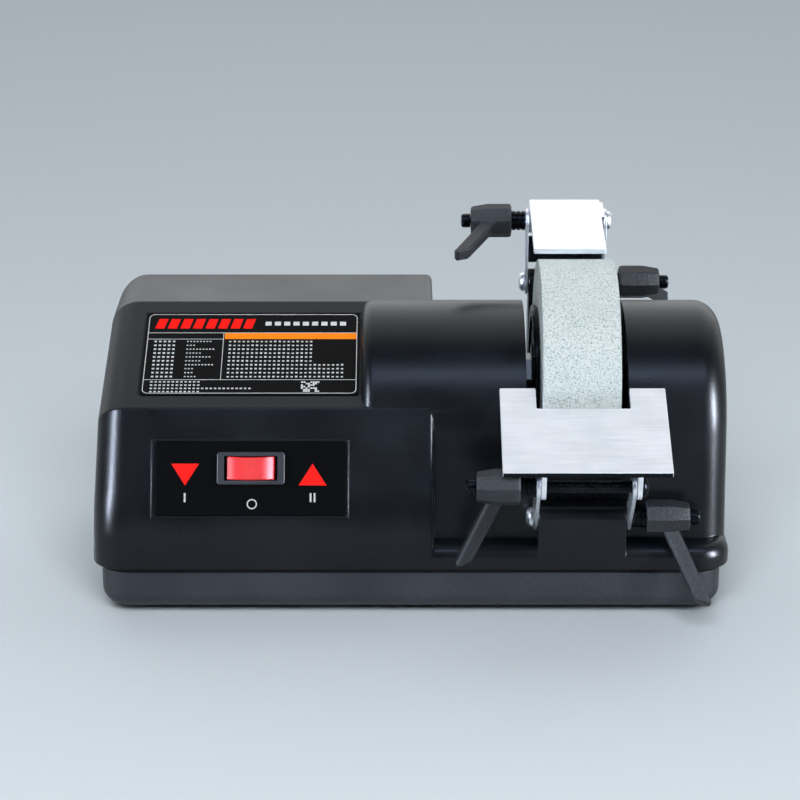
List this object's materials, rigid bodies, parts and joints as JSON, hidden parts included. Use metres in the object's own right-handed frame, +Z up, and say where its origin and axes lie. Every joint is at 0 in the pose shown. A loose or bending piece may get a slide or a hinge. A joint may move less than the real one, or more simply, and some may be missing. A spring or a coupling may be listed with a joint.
{
  "type": "wet grinding sharpener",
  "caption": "Water-cooled bench sharpener: moulded housing on a tray, a wide stone in a slot, clamped notched front rest, plain rear rest and a red rocker switch.",
  "frame": {"origin": "centre of the bounding box in plan, on the surface the feet stand on", "axes": "+X along the wheel shaft to the right, +Y to the back, +Z up; the user stands at -Y"},
  "size_m": [0.326, 0.2202, 0.1791],
  "materials": {
    "housing_plastic": "fine spark-eroded grain",
    "tray_plastic": "fine grain",
    "lever_plastic": "textured glass-filled nylon",
    "printed_plate": "printed film",
    "red_plastic": "polished moulding",
    "rubber": "moulded",
    "stone": "vitrified green-grey abrasive",
    "rest_steel": "long-grain brushed",
    "bright_steel": "turned",
    "zinc_plate": "zinc plated",
    "black_steel": "black oxide",
    "cast_grey": "cast and machined",
    "trough_plastic": "natural moulding"
  },
  "bodies": {
    "housing": {"base_tray": "tray_plastic", "upper_housing": "housing_plastic", "foot_front_left": "rubber", "foot_front_right": "rubber", "foot_rear_left": "rubber", "foot_rear_right": "rubber", "housing_screw_front_left": "zinc_plate", "housing_screw_front_right": "zinc_plate", "housing_screw_rear_left": "zinc_plate", "housing_screw_rear_right": "zinc_plate", "rating_plate": "printed_plate", "switch_plate": "printed_plate", "switch_frame": "printed_plate", "cord_gland": "rubber", "bearing_stand_left": "cast_grey", "bearing_stand_right": "cast_grey", "bearing_left": "bright_steel", "bearing_right": "bright_steel", "shaft_seal_left": "rubber", "shaft_seal_right": "rubber", "motor_can": "cast_grey", "motor_end_bell": "cast_grey", "motor_bracket": "zinc_plate", "gearhead_case": "cast_grey", "water_trough": "trough_plastic", "front_low_bolt": "zinc_plate", "rear_low_bolt": "zinc_plate"},
    "wheel_set": {"grinding_wheel": "stone", "wheel_shaft": "bright_steel", "outer_flange": "black_steel", "inner_flange": "black_steel", "wheel_nut": "bright_steel", "driven_gear": "trough_plastic"},
    "pinion_set": {"drive_pinion": "bright_steel"},
    "rocker_key": {"rocker": "red_plastic"},
    "front_arm": {"front_link_left": "zinc_plate", "front_link_right": "zinc_plate", "front_link_web": "zinc_plate"},
    "front_table": {"front_rest": "rest_steel", "front_high_bolt": "zinc_plate"},
    "front_low_clamp": {"front_low_lever_handle": "lever_plastic", "front_low_lever_collar": "black_steel", "front_low_lever_screw": "black_steel"},
    "front_high_stud": {"front_high_lever_collar": "black_steel", "front_high_lever_screw": "black_steel"},
    "front_high_clamp": {"front_high_lever_handle": "lever_plastic"},
    "rear_arm": {"rear_link_left": "zinc_plate", "rear_link_right": "zinc_plate", "rear_link_web": "zinc_plate"},
    "rear_table": {"rear_rest": "rest_steel", "rear_high_bolt": "zinc_plate"},
    "rear_low_clamp": {"rear_low_lever_handle": "lever_plastic", "rear_low_lever_collar": "black_steel", "rear_low_lever_screw": "black_steel"},
    "rear_high_clamp": {"rear_high_lever_handle": "lever_plastic", "rear_high_lever_collar": "black_steel", "rear_high_lever_screw": "black_steel"}
  },
  "joints": [
    {"name": "wheel_spin", "type": "hinge", "parent": "housing", "child": "wheel_set", "pos_m": [0.0867, -0.00149, 0.104], "axis": [1, 0, 0], "continuous": true},
    {"name": "pinion_spin", "type": "hinge", "parent": "housing", "child": "pinion_set", "pos_m": [0, -0.00149, 0.074], "axis": [1, 0, 0], "continuous": true},
    {"name": "rocker_tilt", "type": "hinge", "parent": "housing", "child": "rocker_key", "pos_m": [-0.081, -0.07112, 0.07509], "axis": [0, 0.478, 0.8784], "range_deg": [-12, 12]},
    {"name": "front_arm_tilt", "type": "hinge", "parent": "housing", "child": "front_arm", "pos_m": [0.08665, -0.07699, 0.0529], "axis": [1, 0, 0], "range_deg": [0, 45]},
    {"name": "front_rest_tilt", "type": "hinge", "parent": "front_arm", "child": "front_table", "pos_m": [0.0869, -0.10049, 0.0789], "axis": [1, 0, 0], "range_deg": [0, 60]},
    {"name": "front_low_lever_turn", "type": "hinge", "parent": "housing", "child": "front_low_clamp", "pos_m": [0.13, -0.07699, 0.0529], "axis": [1, 0, 0], "range_deg": [-130, 2]},
    {"name": "front_high_stud_turn", "type": "hinge", "parent": "front_arm", "child": "front_high_stud", "pos_m": [0.058, -0.10049, 0.0789], "axis": [1, 0, 0], "range_deg": [-45, 0]},
    {"name": "front_high_lever_turn", "type": "hinge", "parent": "front_high_stud", "child": "front_high_clamp", "pos_m": [0.043, -0.10049, 0.0789], "axis": [1, 0, 0], "range_deg": [-110, 4]},
    {"name": "rear_arm_tilt", "type": "hinge", "parent": "housing", "child": "rear_arm", "pos_m": [0.0848, 0.06851, 0.1324], "axis": [1, 0, 0], "range_deg": [-60, 0]},
    {"name": "rear_rest_tilt", "type": "hinge", "parent": "rear_arm", "child": "rear_table", "pos_m": [0.0837, 0.06851, 0.1674], "axis": [1, 0, 0], "range_deg": [-60, 0]},
    {"name": "rear_low_lever_turn", "type": "hinge", "parent": "housing", "child": "rear_low_clamp", "pos_m": [0.126, 0.06851, 0.1324], "axis": [1, 0, 0], "range_deg": [-50, 110]},
    {"name": "rear_high_lever_turn", "type": "hinge", "parent": "rear_arm", "child": "rear_high_clamp", "pos_m": [0.044, 0.06851, 0.1674], "axis": [1, 0, 0], "range_deg": [-100, 30]}
  ],
  "couplings": [
    {"joint": "pinion_spin", "follows": "wheel_spin", "ratio": -3},
    {"joint": "front_high_stud_turn", "follows": "front_arm_tilt", "ratio": -1}
  ]
}
